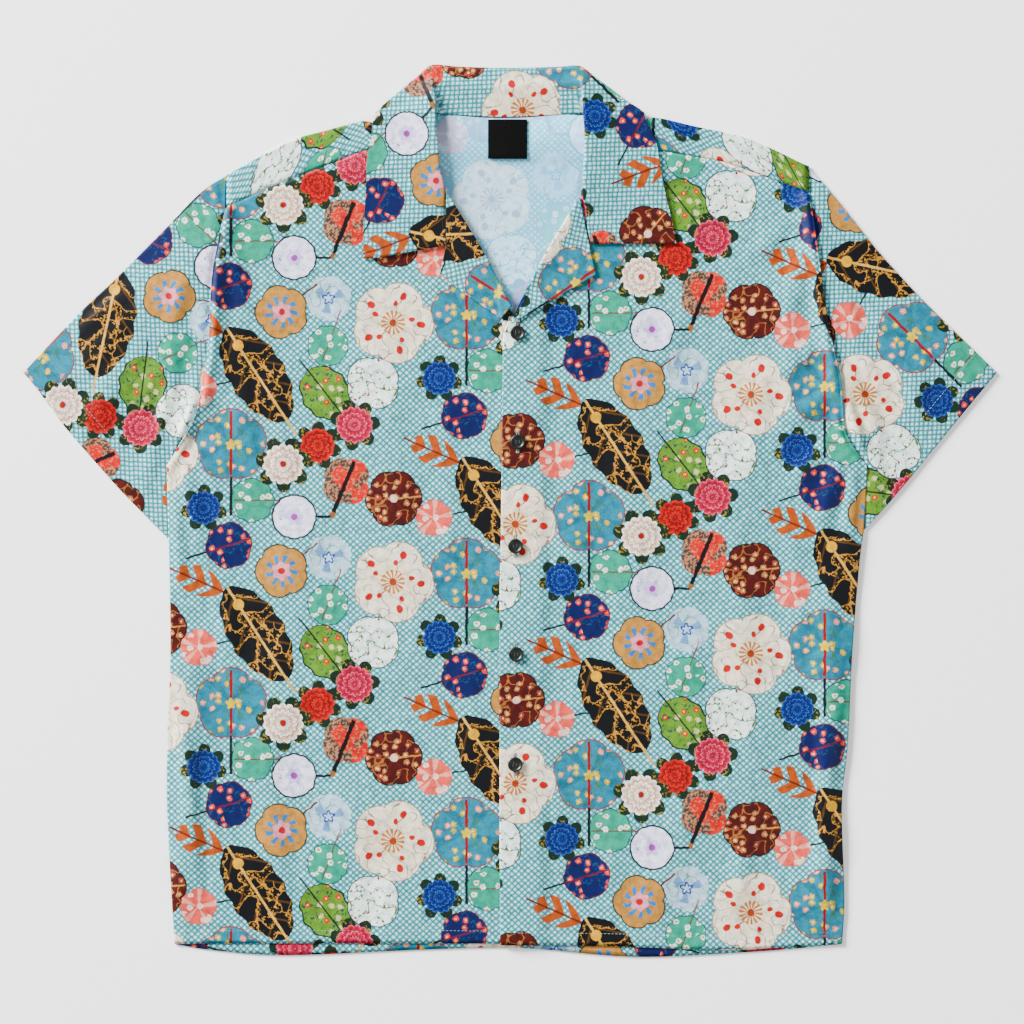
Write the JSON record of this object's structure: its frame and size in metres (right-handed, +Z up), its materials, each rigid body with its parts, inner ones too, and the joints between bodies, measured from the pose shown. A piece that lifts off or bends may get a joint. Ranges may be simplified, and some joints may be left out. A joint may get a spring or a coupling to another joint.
{
  "type": "hawaiian shirt",
  "caption": "Boxy short-sleeved camp-collar shirt, buttoned up the front and laid out flat with its front up, in a bold printed cloth.",
  "frame": {"origin": "on the surface that the shirt lies on, under the middle of its outline", "axes": "+Z up out of the shirt's front, +Y towards the collar, +X towards the wearer's left sleeve"},
  "size_m": [0.828, 0.7565, 0.0091],
  "materials": {
    "printed_cloth": "smooth satin-weave cloth with a large floral print on a pale lattice ground",
    "label_weave": "close black woven ribbon",
    "button_resin": "polished dark resin",
    "thread": "spun sewing thread"
  },
  "bodies": {
    "root": {"back": "printed_cloth", "front_left": "printed_cloth", "front_right": "printed_cloth", "facing_left": "printed_cloth", "facing_right": "printed_cloth", "collar": "printed_cloth", "sleeve_left": "printed_cloth", "sleeve_right": "printed_cloth", "neck_label": "label_weave", "button_1": "button_resin", "button_2": "button_resin", "button_3": "button_resin", "button_4": "button_resin", "button_5": "button_resin"}
  },
  "joints": []
}
